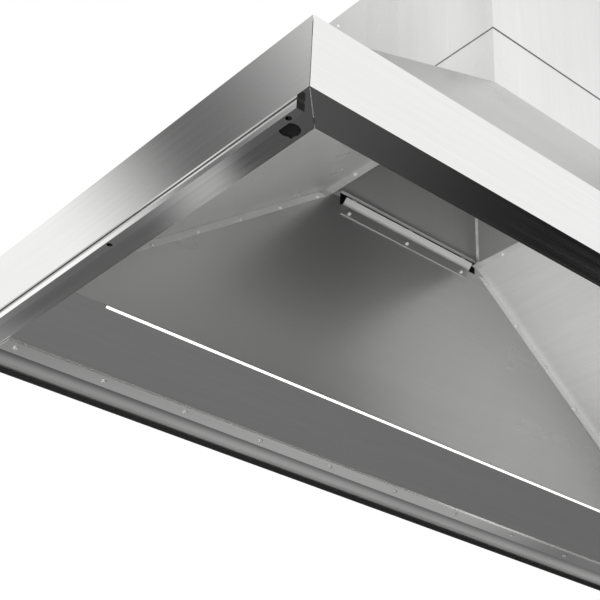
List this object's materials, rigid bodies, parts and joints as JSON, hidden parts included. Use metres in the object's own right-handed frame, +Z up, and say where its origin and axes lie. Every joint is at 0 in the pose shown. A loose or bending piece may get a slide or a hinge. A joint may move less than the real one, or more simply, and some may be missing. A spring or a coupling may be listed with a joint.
{
  "type": "wall canopy range hood",
  "caption": "Wall-mounted stainless canopy range hood: mitred rim, tapered slopes, telescoping chimney cover, rear grease trough, push switch and damped duct outlet.",
  "frame": {"origin": "on the wall plane, on the centreline, level with the underside of the canopy rim", "axes": "+X to the right as the cook sees it, +Y into the wall, +Z up"},
  "size_m": [1.52, 0.692, 0.8787],
  "materials": {
    "rim_steel": "brushed stainless, fine grain along each side",
    "slope_steel": "brushed stainless",
    "chimney_steel": "brushed stainless",
    "inner_steel": "soft brushed stainless",
    "trough_steel": "soft brushed stainless",
    "strip_steel": "brushed stainless bar",
    "rail_metal": "satin extruded bar",
    "zinc_steel": "zinc-plated sheet",
    "screw_steel": "stainless dome heads",
    "seal_foam": "closed-cell foam, matt black",
    "sealant": "pale grey silicone bead",
    "gasket_rubber": "matt rubber strip",
    "switch_plastic": "fine-textured black",
    "button_plastic": "fine-textured black",
    "spring_steel": "bright spring wire",
    "blade_brass": "bare brass",
    "lens_plastic": "opal diffuser",
    "board_plastic": "lamp board",
    "collar_steel": "zinc-plated sheet",
    "flap_steel": "thin sheet",
    "box_metal": "zinc-plated box",
    "gland_plastic": "black nylon"
  },
  "bodies": {
    "hood": {"front_skirt": "rim_steel", "left_skirt": "rim_steel", "right_skirt": "rim_steel", "left_corner_bracket": "zinc_steel", "right_corner_bracket": "zinc_steel", "front_slope": "slope_steel", "left_slope": "slope_steel", "right_slope": "slope_steel", "back_panel": "inner_steel", "left_hip_strip": "inner_steel", "right_hip_strip": "inner_steel", "wall_batten": "zinc_steel", "wall_seal": "seal_foam", "slot_stiffener": "inner_steel", "wall_cleat": "zinc_steel", "rear_trough": "trough_steel", "left_trough_cap": "trough_steel", "right_trough_cap": "trough_steel", "trough_strip": "strip_steel", "light_lens": "lens_plastic", "lamp_board": "board_plastic", "light_bar": "zinc_steel", "left_rail": "rail_metal", "right_rail": "rail_metal", "left_rail_gasket": "gasket_rubber", "right_rail_gasket": "gasket_rubber", "switch_body": "switch_plastic", "button_spring": "spring_steel", "switch_strap": "zinc_steel", "switch_terminals": "blade_brass", "chimney_seat": "strip_steel", "lower_chimney_cover": "chimney_steel", "flue_back_plate": "inner_steel", "slot_cap": "zinc_steel", "left_flue_bead": "sealant", "right_flue_bead": "sealant", "collar_plate": "zinc_steel", "duct_collar": "collar_steel", "damper_pin": "screw_steel", "damper_stop": "collar_steel", "junction_box": "box_metal", "junction_lid": "box_metal", "cable_gland": "gland_plastic", "trough_screws": "screw_steel", "seat_screws": "screw_steel", "hip_screws": "screw_steel", "stiffener_screws": "screw_steel", "batten_screws": "screw_steel", "rail_screws": "screw_steel", "lid_screws": "screw_steel"},
    "chimney_top": {"upper_chimney_cover": "chimney_steel", "chimney_bracket": "zinc_steel", "cover_screws": "screw_steel"},
    "light_button": {"push_button": "button_plastic"},
    "front_damper": {"front_flap": "flap_steel"},
    "rear_damper": {"rear_flap": "flap_steel"}
  },
  "joints": [
    {"name": "cover_slide", "type": "slide", "parent": "hood", "child": "chimney_top", "axis": [0, 0, 1], "range_m": [0, 0.15]},
    {"name": "button_press", "type": "slide", "parent": "hood", "child": "light_button", "axis": [0, 0, 1], "range_m": [0, 0.0025], "stiffness_N_per_m": 400, "springref_m": -0.005, "deforming": ["button_spring"]},
    {"name": "front_flap_hinge", "type": "hinge", "parent": "hood", "child": "front_damper", "pos_m": [0, -0.2095, 0.8095], "axis": [-1, 0, 0], "range_deg": [0, 80]},
    {"name": "rear_flap_hinge", "type": "hinge", "parent": "hood", "child": "rear_damper", "pos_m": [0, -0.2095, 0.8095], "axis": [1, 0, 0], "range_deg": [0, 80]}
  ]
}
